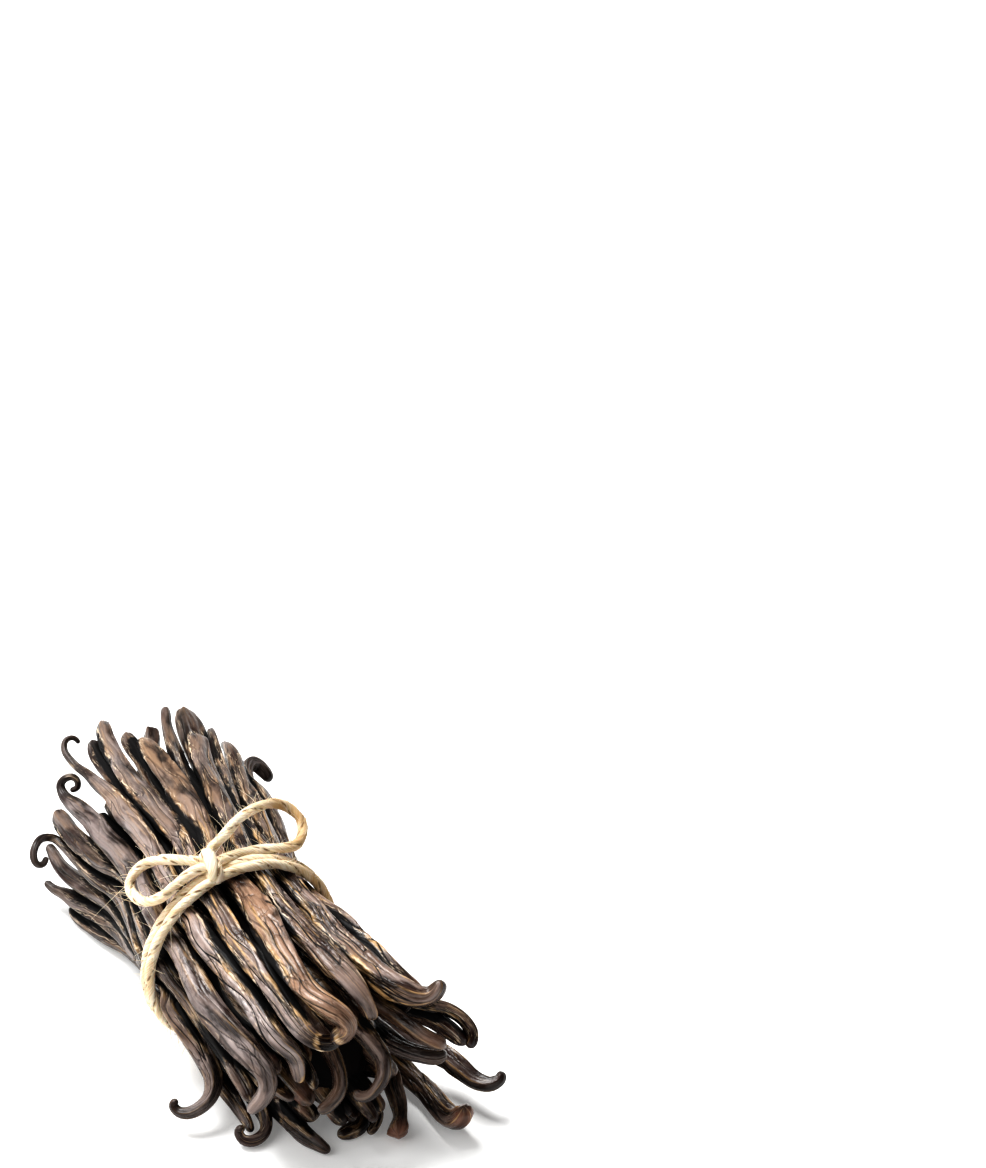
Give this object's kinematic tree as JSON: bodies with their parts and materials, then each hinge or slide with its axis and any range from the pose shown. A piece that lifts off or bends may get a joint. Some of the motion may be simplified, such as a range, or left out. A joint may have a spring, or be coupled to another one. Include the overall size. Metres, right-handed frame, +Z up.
{
  "type": "bundle of vanilla pods tied with twine",
  "caption": "Sheaf of long, dark, wrinkled cured vanilla pods with hooked tips, lying on its side and tied round the waist with jute twine in a bow.",
  "frame": {"origin": "middle of the floor under the whole bundle, the bow included", "axes": "+Y along the pods towards their far, less hooked ends, +X across the bundle to the side where the pods splay most, +Z up towards the bow"},
  "size_m": [0.089, 0.1811, 0.0687],
  "materials": {
    "vanilla_pod": "wrinkled, slightly oily, satin",
    "jute_twine": "matte two-ply cord with loose fibres"
  },
  "bodies": {
    "root": {"pods": "vanilla_pod", "twine": "jute_twine"}
  },
  "joints": []
}
